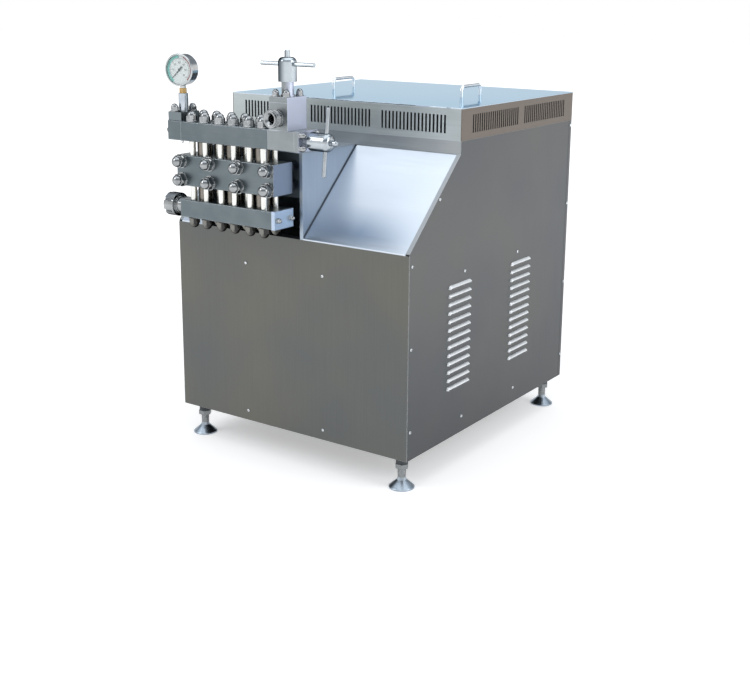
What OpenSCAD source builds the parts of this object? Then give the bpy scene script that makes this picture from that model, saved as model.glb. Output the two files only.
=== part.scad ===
// Dairy homogenizer: cabinet with louvred sides and lift-off lid, belt-driven crankcase,
// three-plunger pump head, two-stage homogenizing valve and pressure gauge.
// Sizes are in millimetres. Modules draw from the cabinet's front left bottom corner,
// X to the right, Y to the back, Z up; the finished part stands on its feet at Z = 0.

/* [Cabinet] */
// Width of the cabinet
cab_w = 900; // [860:5:1000]
// Depth of the cabinet
cab_d = 1025; // [1000:5:1120]
// Height of the front panel
front_h = 633; // [600:1:650]
// Depth of the sloped upper front
slope_d = 276; // [260:1:300]
// Height at the top of the slope
slope_top = 893; // [888:1:905]
// Height of the strip under the lid
strip_h = 38; // [38:1:60]
// Thickness of the cabinet sheets
sheet = 2; // [1.5:0.5:3]
// Width of the folded edge of the side panels along the slope
slope_flange = 14; // [8:1:20]
// Left wall of the pump tower
tower_left = 90; // [80:1:95]
// Right wall of the pump tower
tower_right = 515; // [508:1:540]
// Width of the square frame tubes
tube_w = 40; // [35:1:45]
// Wall of the square frame tubes
tube_t = 3; // [2:0.5:5]
// Height of the deck that carries the crankcase
deck_z = 560; // [540:5:575]

/* [Louvres] */
// Length of a louvre
louvre_len = 130; // [100:5:160]
// Radius of a louvre's hood
louvre_r = 9; // [6:0.5:12]
// Spacing of the louvres
louvre_pitch = 27; // [24:0.5:30]
// Louvres in a column
louvre_count = 13; // [8:1:14]
// Height of the lowest louvre
louvre_z0 = 162; // [120:1:190]
// Front ends of the two louvre columns, from the cabinet's front
louvre_front_y = 223; // [150:1:260]
// Front end of the rear louvre column
louvre_rear_y = 616; // [560:1:680]

/* [Feet] */
// Height of the cabinet above the floor
foot_h = 106; // [96:1:130]
// Diameter of a foot pad
pad_d = 80; // [70:1:90]
// Diameter of a foot post
foot_post_d = 25; // [20:1:28]
// Distance of a foot's axis from the side of the cabinet
foot_inset_x = 47; // [45:1:55]
// Distance of a foot's axis from the front or back of the cabinet
foot_inset_y = 47; // [45:1:55]
// Thickness of the plates that hold the feet
foot_plate_t = 12; // [8:1:16]

/* [Lid] */
// Height of the lid
lid_h = 98; // [85:1:120]
// Thickness of the lid's top plate
lid_plate_t = 3; // [2:0.5:5]
// Height of the vent slots
slot_h = 55; // [40:1:62]
// Width of a vent slot
slot_w = 7; // [4:0.5:8]
// Spacing of the vent slots
slot_pitch = 13.4; // [12:0.1:14]
// Slots in a group on the front and back of the lid
front_slots = 18; // [12:1:18]
// Slots in a group on the sides of the lid
side_slots = 22; // [14:1:23]
// Plain stretch between two slot groups
slot_gap = 42; // [30:1:50]
// Distance of a lid handle from the side of the cabinet
handle_x = 190; // [150:1:240]
// Length of a lid handle between its legs
handle_len = 120; // [100:1:150]
// Height of a lid handle
handle_h = 40; // [34:1:50]
// Diameter of a lid handle's bar
handle_d = 11; // [8:0.5:13]

/* [Pump head] */
// Middle plunger's distance from the cabinet's left side
head_x = 297; // [294:1:303]
// Height of the plungers
plunger_z = 820; // [816:1:824]
// Spacing of the plungers
plunger_pitch = 115; // [112:1:118]
// Diameter of a plunger
plunger_d = 30; // [24:1:31]
// Gap between the cabinet's front and the back of the head
head_gap = 18; // [16:1:30]
// Depth of the head's three blocks
head_d = 89; // [86:1:100]
// Width of the cylinder block
block_w = 386; // [384:1:396]
// Height of the cylinder block
block_h = 95; // [92:1:100]
// Gap between the cylinder block and each manifold
valve_gap = 44; // [40:1:50]
// Width of the suction manifold
suction_w = 367; // [355:1:375]
// Height of the suction manifold
suction_h = 56; // [50:1:64]
// Width of the discharge manifold
discharge_w = 347; // [338:1:352]
// Height of the discharge manifold
discharge_h = 60; // [54:1:66]
// Diameter of a valve sleeve
sleeve_d = 46; // [40:1:48]
// Bore of a valve sleeve and of the valve passages in the cylinder block
sleeve_bore = 32; // [28:1:34]
// Diameter of a check-valve ball
ball_d = 27; // [24:0.5:27.5]
// Diameter of a check-valve seat
seat_d = 20; // [16:1:22]
// Diameter of a tie stud
tie_d = 20; // [16:1:20]
// Half the spacing of a plunger's tie studs across the head
tie_dx = 27; // [26.5:0.5:29]
// Half the spacing of the tie-stud rows through the head's depth
tie_dy = 27; // [26.5:0.5:28]
// Diameter of a block stud
block_stud_d = 24; // [20:1:25]
// Half the spacing of the two block-stud rows
block_stud_dz = 29; // [27:1:30]
// Width across the flats of a tie stud's dome nut
tie_nut_af = 30; // [26:1:32]
// Width across the flats of a block stud's dome nut
block_nut_af = 36; // [32:1:37]
// Bore along the suction manifold
suction_bore = 38; // [30:1:38]
// Bore along the discharge manifold
discharge_bore = 24; // [18:1:26]

/* [Unions] */
// Diameter of the inlet union's threaded end
inlet_d = 60; // [50:1:64]
// Diameter of the inlet union nut
inlet_nut_d = 75; // [70:1:84]
// Bore of the inlet union
inlet_bore = 36; // [28:1:37]
// Length of the inlet union
inlet_len = 84; // [70:1:100]
// Diameter of the discharge union
outlet_d = 52; // [44:1:56]
// Bore of the discharge union
outlet_bore = 22; // [16:1:26]
// Length of the discharge union
outlet_len = 40; // [34:1:50]

/* [Homogenizing valve] */
// Width of the valve block's foot
valve_w = 98; // [94:1:110]
// Width of the valve block's tower
valve_tower_w = 68; // [66:1:76]
// Height of the valve block's tower above the discharge manifold
valve_tower_h = 79; // [74:1:90]
// Thickness of the bonnet flanges
bonnet_t = 16; // [12:1:20]
// Diameter of the bonnet necks
neck_d = 36; // [30:1:38]
// Bare length of the first-stage neck
neck_len = 42; // [36:1:60]
// Bare length of the second-stage neck
side_neck_len = 16; // [14:1:40]
// Diameter of the turning hubs
hub_d = 54; // [50:1:58]
// Length of the turning hubs
hub_len = 70; // [66:1:80]
// Diameter of the T-bars
bar_d = 12; // [10:0.5:14]
// Length of the T-bars
bar_len = 200; // [160:1:240]
// Diameter of the valve spindles
spindle_d = 16; // [12:1:18]
// Lean of the second-stage T-bar from upright, in degrees
side_bar_lean = 6.7; // [0:0.1:20]

/* [Gauge] */
// Width of the gauge block at the end of the discharge manifold
gauge_block_w = 54; // [48:1:60]
// Height of the clamp cap on the gauge block
gauge_cap_h = 26; // [20:1:32]
// Diameter of the gauge stem
gauge_stem_d = 30; // [24:1:32]
// Length of the gauge stem
gauge_stem_len = 55; // [48:1:70]
// Diameter of the gauge case
gauge_d = 100; // [90:1:110]
// Depth of the gauge case
gauge_depth = 46; // [40:1:52]
// Diameter of the gauge's needle shaft
needle_shaft_d = 3; // [2.5:0.5:4]
// Turn of the gauge's face to the right, in degrees
gauge_turn = 10; // [0:1:20]

/* [Drive] */
// Front face of the crankcase, behind the cabinet's front
crank_front = 20; // [16:1:30]
// Crank axis, behind the cabinet's front
crank_y = 520; // [510:1:540]
// Width of the crankcase
crankcase_w = 392; // [388:1:396]
// Radius of the crankcase around the crank
crankcase_r = 155; // [140:1:158]
// Stroke of the plungers
stroke = 50; // [40:1:54]
// Radius of the drive pulley
drive_r = 170; // [150:1:175]
// Radius of the motor pulley
motor_r = 85; // [70:1:95]
// Left face of both pulleys
pulley_x = 600; // [590:1:620]
// Motor axis, behind the cabinet's front
motor_y = 690; // [680:1:700]
// Height of the motor axis above its deck
motor_axis_h = 160; // [158:1:180]
// Radius of the motor's body
motor_body_r = 132; // [110:1:136]
// Length of the motor's body
motor_len = 400; // [360:5:430]
// Diameter of the crankshaft
crankshaft_d = 48; // [40:1:56]
// Diameter of the motor shaft
motor_shaft_d = 38; // [30:1:44]

/* [Fits] */
// Radial clearance of a shaft in its bore
run_fit = 0.06; // [0.02:0.01:0.1]
// Radial clearance of a bolt or stud in its hole
stud_fit = 0.4; // [0.2:0.1:0.8]
// Clearance between parts that move past each other
gap = 0.4; // [0.3:0.1:0.8]
// Gap at the joints between separate tubes or sheets of one frame
seam = 0.2; // [0.1:0.1:0.5]

/* [Hidden] */
$fn = 48;
steel = [0.66, 0.67, 0.68];
dark_steel = [0.42, 0.42, 0.41];
bright = [0.82, 0.83, 0.85];
brass = [0.76, 0.58, 0.28];
iron = [0.25, 0.27, 0.29];
black = [0.06, 0.06, 0.07];
white = [0.95, 0.95, 0.94];

body_top = slope_top + strip_h;
slope_rise = slope_top - front_h;
slope_angle = atan2(slope_rise, slope_d);
slope_len = norm([slope_d, slope_rise]);
lip_h = 2 * sheet;
tower_flange = 12;

frame_z = foot_plate_t + seam;
foot_plate_w = 94;
bush_h = 28;
post_top = front_h - lip_h - sheet;
mid_y = slope_d + sheet;
rear_y = cab_d - sheet - tube_w;
beam_x0 = sheet + tube_w + seam;
beam_len = cab_w - 2 * beam_x0;
deck_t = 12;
deck_margin = 30;
deck_y0 = crank_y - crankcase_r - deck_margin;
deck_y1 = crank_y + crankcase_r + 4 * deck_margin;
deck_x0 = 80;
deck_x1 = pulley_x - 20;
motor_deck_t = 10;
motor_deck_z = frame_z + tube_w;

head_back = -head_gap;
head_front = -head_gap - head_d;
head_mid = -head_gap - head_d / 2;
block_z = plunger_z - block_h / 2;
block_top = plunger_z + block_h / 2;
suction_top = block_z - valve_gap;
suction_z = suction_top - suction_h;
suction_axis = suction_top - suction_h / 2;
discharge_z = block_top + valve_gap;
discharge_top = discharge_z + discharge_h;
discharge_axis = discharge_z + discharge_h / 2;
plunger_xs = [for (i = [-1:1]) head_x + i * plunger_pitch];
tie_points = [for (x = plunger_xs, dx = [-tie_dx, tie_dx], dy = [-tie_dy, tie_dy]) [x + dx, head_mid + dy]];
block_stud_points = [for (i = [-1.5:1.5], dz = [-block_stud_dz, block_stud_dz])
    [head_x + i * plunger_pitch, plunger_z + dz]];
plunger_bore_depth = 0.79 * head_d;
plunger_tip = head_back - plunger_bore_depth + stroke / 2 + 5;
plunger_tail = crank_front + stroke / 2 + 35;
guide_depth = stroke + 45;
gland_t = 14;
gland_d = 56;
spacer_d = 34;
stud_anchor = 40;
washer_t = 3;
edge_cut = 2;
front_reach = max(outlet_len, washer_t + 0.97 * block_nut_af) - head_front;
nut_grip = 14;
end_plate_t = 12;
ball_rise = sqrt(pow(ball_d / 2, 2) - pow(seat_d / 2, 2)) + gap;

valve_x0 = head_x + discharge_w / 2;
valve_tower_x0 = valve_x0 + 7;
valve_axis_x = valve_tower_x0 + valve_tower_w / 2;
valve_tower_top = discharge_top + valve_tower_h;
bonnet_top = valve_tower_top + bonnet_t;
hub_z = bonnet_top + neck_len;
valve_x1 = valve_x0 + valve_w;
side_bonnet_x = valve_x1 + bonnet_t;
side_hub_x = side_bonnet_x + side_neck_len;
outlet_z = discharge_top + 0.44 * valve_tower_h;
hub_skirt = 30;
neck_reach = hub_skirt - 8;
bar_at = hub_len - 20;
spigot_d = 16;
spigot_len = 20;

gauge_block_x = head_x - discharge_w / 2 - gauge_block_w;
gauge_x = gauge_block_x + gauge_block_w / 2;
gauge_cap_z = discharge_top;
gauge_stem_z = gauge_cap_z + gauge_cap_h;
gauge_connector_z = gauge_stem_z + gauge_stem_len;
connector_h = 16;
case_boss = 6;
gauge_z = gauge_connector_z + connector_h + case_boss + gauge_d / 2;
case_wall = 3;
dial_inset = 7.5;
dial_t = 1.5;
lens_inset = 1.5;
lens_t = 2;

motor_z = motor_deck_z + motor_deck_t + motor_axis_h;
motor_x1 = pulley_x - 50;
motor_x0 = motor_x1 - motor_len;
crankcase_x0 = head_x - crankcase_w / 2;
crankcase_x1 = head_x + crankcase_w / 2;
groove_pitch = 20;
groove_count = 3;
pulley_w = groove_pitch * groove_count + 8;
groove_depth = 13;
belt_w = 12;
belt_depth = 9;
shaft_seat = 60;
crankcase_foot_h = 25;

// Puts what is drawn from the cabinet's corner on the floor, centred under the whole machine
module stand() {
    translate([-cab_w / 2, -(cab_d - front_reach) / 2, foot_h]) children();
}

// Turns an upright shape to lie along +X, -X, +Y or -Y
module along_x() {
    rotate([0, 90, 0]) children();
}
module along_minus_x() {
    rotate([0, -90, 0]) children();
}
module along_y() {
    rotate([-90, 0, 0]) children();
}
module along_minus_y() {
    rotate([90, 0, 0]) children();
}

// Square tube standing on the XY plane
module square_tube(len) {
    difference() {
        cube([tube_w, tube_w, len]);
        translate([tube_t, tube_t, -1]) cube([tube_w - 2 * tube_t, tube_w - 2 * tube_t, len + 2]);
    }
}
module tube_along_x(len) {
    translate([0, tube_w, 0]) rotate([90, 0, 90]) translate([-tube_w, 0, 0]) square_tube(len);
}
module tube_along_y(len) {
    translate([0, len, 0]) rotate([90, 0, 0]) square_tube(len);
}

// Flat ring standing on the XY plane
module ring(outer_d, inner_d, len) {
    difference() {
        cylinder(d = outer_d, h = len);
        translate([0, 0, -1]) cylinder(d = inner_d, h = len + 2);
    }
}

// Dome nut on its washer, with a blind bore for the stud's end; a bore of 0 makes a dome-headed bolt
module dome_nut(af, bore_d) {
    hex_h = 0.5 * af;
    dome_r = 0.47 * af;
    difference() {
        union() {
            cylinder(d = 1.24 * af, h = washer_t);
            intersection() {
                cylinder(d = af / cos(30), h = washer_t + hex_h, $fn = 6);
                cylinder(r1 = 1.3 * af, r2 = 0.53 * af, h = washer_t + hex_h);
            }
            translate([0, 0, washer_t + hex_h]) intersection() {
                sphere(r = dome_r);
                translate([-af, -af, 0]) cube([2 * af, 2 * af, af]);
            }
        }
        if (bore_d > 0) translate([0, 0, -1]) cylinder(d = bore_d, h = 1 + washer_t + nut_grip);
    }
}

// Frame of welded square tubes, with the plates and bushes that hold the feet
module frame_tubes() {
    color(iron) stand() {
        for (x = [sheet, cab_w - sheet - tube_w]) {
            translate([x, sheet, frame_z]) square_tube(post_top - frame_z);
            translate([x, rear_y, frame_z]) square_tube(body_top - frame_z);
            translate([x, mid_y, motor_deck_z + seam]) square_tube(body_top - motor_deck_z - seam);
            side_rail(x, sheet + tube_w, frame_z);
            for (z = [deck_z - tube_w, body_top - tube_w]) side_rail(x, mid_y + tube_w, z);
        }
        for (y = [sheet, rear_y]) translate([beam_x0, y, frame_z]) tube_along_x(beam_len);
        for (y = [mid_y, rear_y]) translate([beam_x0, y, body_top - tube_w]) tube_along_x(beam_len);
        translate([beam_x0, sheet, post_top - tube_w]) tube_along_x(beam_len);
        for (y = [deck_y0, deck_y1 - tube_w]) translate([beam_x0, y, deck_z - tube_w]) tube_along_x(beam_len);
        foot_places() difference() {
            union() {
                translate([-foot_inset_x + sheet, -foot_inset_y + sheet, 0])
                    cube([foot_plate_w, foot_plate_w, foot_plate_t]);
                translate([0, 0, -bush_h]) cylinder(d = 1.5 * foot_post_d, h = bush_h + 1);
            }
            translate([0, 0, -bush_h - 1]) cylinder(d = foot_post_d + 2 * run_fit, h = bush_h + foot_plate_t + 2);
        }
    }
}

// Rail of the frame along Y, from a post that ends at y to the rear post
module side_rail(x, y, z) {
    translate([x, y + seam, z]) tube_along_y(rear_y - y - 2 * seam);
}

// The four foot positions, each turned so that its corner lies towards -X and -Y
module foot_places() {
    for (sx = [0, 1], sy = [0, 1]) foot_place(sx, sy) children();
}
module foot_place(sx, sy) {
    translate([sx * cab_w, sy * cab_d, 0]) mirror([sx, 0, 0]) mirror([0, sy, 0])
        translate([foot_inset_x, foot_inset_y, 0]) children();
}

// Decks that carry the crankcase and the motor
module machine_decks() {
    color(iron) stand() {
        translate([deck_x0, deck_y0, deck_z]) cube([deck_x1 - deck_x0, deck_y1 - deck_y0, deck_t]);
        translate([sheet, motor_y - motor_body_r - deck_margin, motor_deck_z])
            cube([cab_w - 2 * sheet, 2 * (motor_body_r + deck_margin), motor_deck_t]);
    }
}

module front_panel() {
    color(dark_steel) stand() cube([cab_w, sheet, front_h - lip_h]);
}

// Side panel drawn at X = 0 with its louvres and its slope flange on the inside
module side_panel() {
    slope_start = front_h + slope_rise * sheet / slope_d;
    flange_drop = sheet / cos(slope_angle);
    difference() {
        union() {
            rotate([90, 0, 90]) linear_extrude(sheet) polygon([[sheet, 0], [cab_d - sheet, 0],
                [cab_d - sheet, body_top], [slope_d, body_top], [slope_d, slope_top], [sheet, slope_start]]);
            rotate([90, 0, 90]) linear_extrude(slope_flange) polygon([[sheet, slope_start], [slope_d, slope_top],
                [slope_d, slope_top - flange_drop], [sheet, slope_start - flange_drop]]);
            louvre_places() louvre_hood(louvre_r, 90);
        }
        louvre_places() translate([0, 0, -gap]) louvre_hood(louvre_r - sheet, 180);
    }
}

module louvre_places() {
    for (y = [louvre_front_y, louvre_rear_y], i = [0:louvre_count - 1])
        translate([0, y + louvre_len / 2, louvre_z0 + i * louvre_pitch]) children();
}

// Pressed hood, round at the top and at both ends, open below, bulging to -X
module louvre_hood(r, angle) {
    reach = louvre_len / 2 - louvre_r;
    translate([sheet, 0, 0]) along_minus_y() rotate([0, 0, 180 - angle]) rotate_extrude(angle = angle)
        intersection() {
            union() {
                translate([0, -reach]) square([r + sheet, 2 * reach]);
                for (s = [-1, 1]) translate([0, s * reach]) circle(r = r + sheet);
            }
            translate([0, -louvre_len]) square([2 * louvre_r, 2 * louvre_len]);
        }
}

module left_side_panel() {
    color(dark_steel) stand() side_panel();
}
module right_side_panel() {
    color(dark_steel) stand() translate([cab_w, 0, 0]) mirror([1, 0, 0]) side_panel();
}

module rear_panel() {
    color(dark_steel) stand() translate([0, cab_d - sheet, 0]) cube([cab_w, sheet, body_top]);
}

// Sloped sheet from x0 to x1 with a folded lip that sits on the front panel
module slope_sheet(x0, x1) {
    up = 1 - lip_h / slope_len;
    top_edge = [slope_d * up, front_h + slope_rise * up];
    under_edge = top_edge + sheet * [sin(slope_angle), -cos(slope_angle)];
    fold = [sheet, front_h + sheet * tan(slope_angle) - sheet / cos(slope_angle)];
    translate([x0, 0, 0]) rotate([90, 0, 90]) linear_extrude(x1 - x0) polygon([[0, front_h - lip_h],
        [0, front_h], top_edge, under_edge, fold, [sheet, front_h - lip_h]]);
}
module chute_panel() {
    color(bright) stand() slope_sheet(tower_right, cab_w - slope_flange);
}
module left_slope_panel() {
    color(bright) stand() slope_sheet(slope_flange, tower_left);
}

// Hood of the pump tower: two three-cornered walls with folded front edges, and a flat top
module tower_hood() {
    color(steel) stand() {
        translate([tower_left, 0, 0]) tower_wall();
        translate([tower_right, 0, 0]) mirror([1, 0, 0]) tower_wall();
        translate([tower_left, 0, slope_top - sheet]) cube([tower_right - tower_left, slope_d, sheet]);
    }
}
module tower_wall() {
    wall_top = slope_top - sheet - seam;
    union() {
        rotate([90, 0, 90]) linear_extrude(sheet)
            polygon([[0, front_h - lip_h], [0, wall_top], [slope_d - lip_h, wall_top], [sheet, front_h - lip_h]]);
        translate([0, 0, front_h - lip_h]) cube([tower_flange, sheet, wall_top - front_h + lip_h]);
    }
}

module upper_front_strip() {
    color(dark_steel) stand() translate([sheet, slope_d, slope_top - lip_h])
        cube([cab_w - 2 * sheet, sheet, strip_h + lip_h]);
}

// Hexagon lock nuts on the foot posts, tight under the bushes
module foot_lock_nuts() {
    lock_nut_h = 14;
    color(steel) stand() foot_places() translate([0, 0, -bush_h - lock_nut_h]) difference() {
        cylinder(d = 1.75 * foot_post_d, h = lock_nut_h, $fn = 6);
        translate([0, 0, -1]) cylinder(d = foot_post_d + 2 * run_fit, h = lock_nut_h + 2);
    }
}

// Levelling foot: pad with a raised rim and a cone up to its post
module foot() {
    rim_h = 4;
    cone_h = 26;
    neck_r = 0.6 * foot_post_d;
    translate([0, 0, -foot_h]) rotate_extrude()
        polygon([[0, 0], [pad_d / 2, 0], [pad_d / 2, rim_h], [pad_d / 2 - 2, rim_h + 2], [neck_r, cone_h],
            [foot_post_d / 2, cone_h + 8],
            [foot_post_d / 2, foot_h + foot_plate_t - gap], [0, foot_h + foot_plate_t - gap]]);
}
module foot_front_left() {
    color(bright) stand() foot_place(0, 0) foot();
}
module foot_front_right() {
    color(bright) stand() foot_place(1, 0) foot();
}
module foot_rear_left() {
    color(bright) stand() foot_place(0, 1) foot();
}
module foot_rear_right() {
    color(bright) stand() foot_place(1, 1) foot();
}

module lid_top() {
    color(bright) stand() translate([0, slope_d, body_top + lid_h - lid_plate_t])
        cube([cab_w, cab_d - slope_d, lid_plate_t]);
}

// Upright sheet with groups of slots, from the origin along +X
module vent_wall(len, groups, slots) {
    wall_h = lid_h - lid_plate_t;
    group_w = (slots - 1) * slot_pitch + slot_w;
    pattern_w = groups * group_w + (groups - 1) * slot_gap;
    translate([0, sheet, 0]) rotate([90, 0, 0]) linear_extrude(sheet) difference() {
        square([len, wall_h]);
        for (g = [0:groups - 1], i = [0:slots - 1])
            translate([(len - pattern_w) / 2 + g * (group_w + slot_gap) + i * slot_pitch, (wall_h - slot_h) / 2])
                square([slot_w, slot_h]);
    }
}
module lid_vent_walls() {
    side_len = cab_d - slope_d - 2 * (sheet + seam);
    color(steel) stand() translate([0, slope_d, body_top]) {
        for (y = [0, cab_d - slope_d - sheet]) translate([0, y, 0]) vent_wall(cab_w, 3, front_slots);
        for (x = [sheet, cab_w]) translate([x, sheet + seam, 0]) rotate([0, 0, 90])
            vent_wall(side_len, 2, side_slots);
    }
}

// Bent-rod handle along Y, standing on the XY plane
module rod_handle() {
    bend_r = 14;
    reach = handle_len / 2;
    straight = handle_h - handle_d / 2 - bend_r;
    for (s = [-1, 1]) {
        translate([0, s * reach, 0]) cylinder(d = handle_d, h = straight);
        translate([0, s * (reach - bend_r), straight]) rotate([90, 0, s * 90]) rotate_extrude(angle = 90)
            translate([bend_r, 0]) circle(d = handle_d);
    }
    translate([0, bend_r - reach, straight + bend_r]) along_y() cylinder(d = handle_d, h = 2 * (reach - bend_r));
}
module lid_handles() {
    color(bright) stand() for (x = [handle_x, cab_w - handle_x])
        translate([x, (slope_d + cab_d) / 2, body_top + lid_h]) rod_handle();
}

// Crosshead housing with the plunger guides, bolted to the cast crank chamber on its pedestal
module crankcase() {
    housing_margin = 20;
    housing_h = block_h + 2 * housing_margin;
    pedestal_w = crankcase_r * 1.7;
    flange_t = 6;
    bolt_face = crank_y - crankcase_r - flange_t;
    color(iron) stand() {
        difference() {
            translate([crankcase_x0, crank_front, plunger_z - housing_h / 2])
                cube([crankcase_w, bolt_face - seam - crank_front, housing_h]);
            for (x = plunger_xs) translate([x, crank_front - 1, plunger_z]) along_y()
                cylinder(d = plunger_d + 2 * run_fit, h = guide_depth + 1);
            for (p = block_stud_points) translate([p[0], crank_front - 1, p[1]]) along_y()
                cylinder(d = block_stud_d + 2 * stud_fit, h = stud_anchor + 1);
        }
        difference() {
            union() {
                translate([crankcase_x0, bolt_face, plunger_z - housing_h / 2])
                    cube([crankcase_w, crank_y - bolt_face, housing_h]);
                translate([crankcase_x0, crank_y, plunger_z]) along_x() cylinder(r = crankcase_r, h = crankcase_w);
                translate([crankcase_x0, crank_y - pedestal_w / 2, deck_z + deck_t])
                    cube([crankcase_w, pedestal_w, plunger_z - deck_z - deck_t]);
                translate([crankcase_x0, crank_y - crankcase_r, deck_z + deck_t])
                    cube([crankcase_w, 2 * crankcase_r, crankcase_foot_h]);
            }
            translate([crankcase_x1 - shaft_seat, crank_y, plunger_z]) along_x()
                cylinder(d = crankshaft_d + 2 * run_fit, h = shaft_seat + 1);
        }
    }
}

// Stepped bearing cover on the closed end of the crankcase
module crankcase_cover() {
    color(iron) stand() translate([crankcase_x0, crank_y, plunger_z]) along_minus_x() {
        cylinder(r = 0.6 * crankcase_r, h = 10);
        cylinder(r = 0.4 * crankcase_r, h = 18);
    }
}

// Motor with cooling fins, a fan cowl at its left end, a terminal box on top and two bolted feet
module motor_housing() {
    fin_count = 24;
    fin_h = 10;
    fin_t = 4;
    cowl_len = 80;
    end_shield = 40;
    fin_r = motor_body_r + fin_h;
    foot_len = 200;
    foot_w = 50;
    box_w = 120;
    color(iron) stand() translate([motor_x0, motor_y, motor_z]) {
        difference() {
            union() {
                along_x() {
                    cylinder(r = fin_r + fin_t, h = cowl_len);
                    cylinder(r = motor_body_r, h = motor_len);
                    for (i = [0:fin_count - 1]) rotate([0, 0, (i + 0.5) * 360 / fin_count])
                        translate([motor_body_r - fin_t, -fin_t / 2, cowl_len])
                            cube([fin_h + fin_t, fin_t, motor_len - cowl_len - end_shield]);
                }
                translate([motor_len / 2, -box_w / 2, 0]) cube([box_w, box_w, motor_body_r + 45]);
            }
            translate([motor_len - shaft_seat, 0, 0]) along_x()
                cylinder(d = motor_shaft_d + 2 * run_fit, h = shaft_seat + 1);
        }
        difference() {
            for (s = [-1, 1]) translate([(motor_len - foot_len) / 2, s * (motor_body_r - 30) - foot_w / 2, -motor_axis_h])
                cube([foot_len, foot_w, motor_axis_h - motor_body_r / 2]);
            along_x() cylinder(r = fin_r + seam, h = motor_len);
        }
    }
}

module motor_shaft() {
    color(bright) stand() translate([motor_x1 - shaft_seat, motor_y, motor_z]) along_x()
        cylinder(d = motor_shaft_d, h = shaft_seat + pulley_x + pulley_w - motor_x1);
}
module crankshaft() {
    color(bright) stand() translate([crankcase_x1 - shaft_seat, crank_y, plunger_z]) along_x()
        cylinder(d = crankshaft_d, h = shaft_seat + pulley_x + pulley_w - crankcase_x1);
}

// Grooved belt pulley from the origin along +Z, with a web between hub and rim
module belt_pulley(r, shaft_d) {
    web_t = 18;
    rim_r = r - groove_depth - 10;
    hub_r = 0.9 * shaft_d;
    difference() {
        cylinder(r = r, h = pulley_w);
        for (i = [0:groove_count - 1]) translate([0, 0, groove_z(i)]) belt_groove(r);
        if (rim_r > hub_r + 12) for (z = [-1, (pulley_w + web_t) / 2])
            translate([0, 0, z]) ring(2 * rim_r, 2 * hub_r, (pulley_w - web_t) / 2 + 1);
        translate([0, 0, -1]) cylinder(d = shaft_d + 2 * run_fit, h = pulley_w + 2);
    }
}
function groove_z(i) = 4 + groove_pitch * (i + 0.5);

// Ring of a V groove's section around the pulley
module belt_groove(r) {
    top_w = belt_w / 2 + 1.6;
    low_w = belt_w / 2 + 0.1;
    rotate_extrude() polygon([[r - groove_depth, -low_w], [r + 1, -top_w], [r + 1, top_w], [r - groove_depth, low_w]]);
}
module motor_pulley() {
    color(iron) stand() translate([pulley_x, motor_y, motor_z]) along_x() belt_pulley(motor_r, motor_shaft_d);
}
module drive_pulley() {
    color(iron) stand() translate([pulley_x, crank_y, plunger_z]) along_x() belt_pulley(drive_r, crankshaft_d);
}

// Closed belt loops in the pulleys' grooves
module drive_belts() {
    belt_in = 1 - groove_depth + 3;
    color(black) stand() for (i = [0:groove_count - 1])
        translate([pulley_x + groove_z(i) - belt_w / 2, 0, 0]) rotate([90, 0, 90]) linear_extrude(belt_w) difference() {
            belt_outline(belt_in + belt_depth);
            belt_outline(belt_in);
        }
}
module belt_outline(grow) {
    hull() {
        translate([crank_y, plunger_z]) circle(r = drive_r + grow, $fn = 64);
        translate([motor_y, motor_z]) circle(r = motor_r + grow, $fn = 64);
    }
}

// Tubes round the block studs that hold the cylinder block off the crankcase
module head_spacers() {
    color(steel) stand() for (p = block_stud_points) translate([p[0], head_back, p[1]]) along_y()
        ring(spacer_d, block_stud_d + 2 * stud_fit, crank_front - head_back);
}

module plunger(i) {
    color(bright) stand() translate([plunger_xs[i], plunger_tip, plunger_z]) along_y()
        cylinder(d = plunger_d, h = plunger_tail - plunger_tip);
}
module plunger_left() {
    plunger(0);
}
module plunger_middle() {
    plunger(1);
}
module plunger_right() {
    plunger(2);
}

// Packing glands on the back of the cylinder block
module packing_glands() {
    color(brass) stand() for (x = plunger_xs) translate([x, head_back, plunger_z]) along_y()
        ring(gland_d, plunger_d + 2 * run_fit, gland_t);
}

// Bar of the head from x along +X, with its long edges broken by a small chamfer
module head_bar(x, w, z, h) {
    far = head_d - edge_cut;
    top = h - edge_cut;
    translate([x, head_front, z]) rotate([90, 0, 90]) linear_extrude(w) polygon([[edge_cut, 0], [far, 0],
        [head_d, edge_cut], [head_d, top], [far, h], [edge_cut, h], [0, top], [0, edge_cut]]);
}
module head_block(w, z, h) {
    head_bar(head_x - w / 2, w, z, h);
}
module tie_holes(z, h) {
    for (p = tie_points) translate([p[0], p[1], z - 1]) cylinder(d = tie_d + 2 * stud_fit, h = h + 2);
}

module cylinder_block() {
    color(steel) stand() difference() {
        head_block(block_w, block_z, block_h);
        tie_holes(block_z, block_h);
        for (x = plunger_xs) {
            translate([x, head_mid, block_z - 1]) cylinder(d = sleeve_bore, h = valve_gap / 4 + 1);
            translate([x, head_mid, block_z]) cylinder(d = seat_d, h = block_h + 1);
            translate([x, head_back + 1, plunger_z]) along_minus_y()
                cylinder(d = plunger_d + 2 * run_fit, h = plunger_bore_depth + 1);
        }
        for (p = block_stud_points) translate([p[0], head_front - 1, p[1]]) along_y()
            cylinder(d = block_stud_d + 2 * stud_fit, h = head_d + 2);
    }
}

// Lower block with a bore along it and a seat above for each suction valve
module suction_manifold() {
    color(steel) stand() difference() {
        head_block(suction_w, suction_z, suction_h);
        tie_holes(suction_z, suction_h);
        translate([head_x - suction_w / 2 - 1, head_mid, suction_axis]) along_x()
            cylinder(d = suction_bore, h = suction_w + 2);
        for (x = plunger_xs) translate([x, head_mid, suction_axis]) cylinder(d = seat_d, h = suction_h);
    }
}

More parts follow.
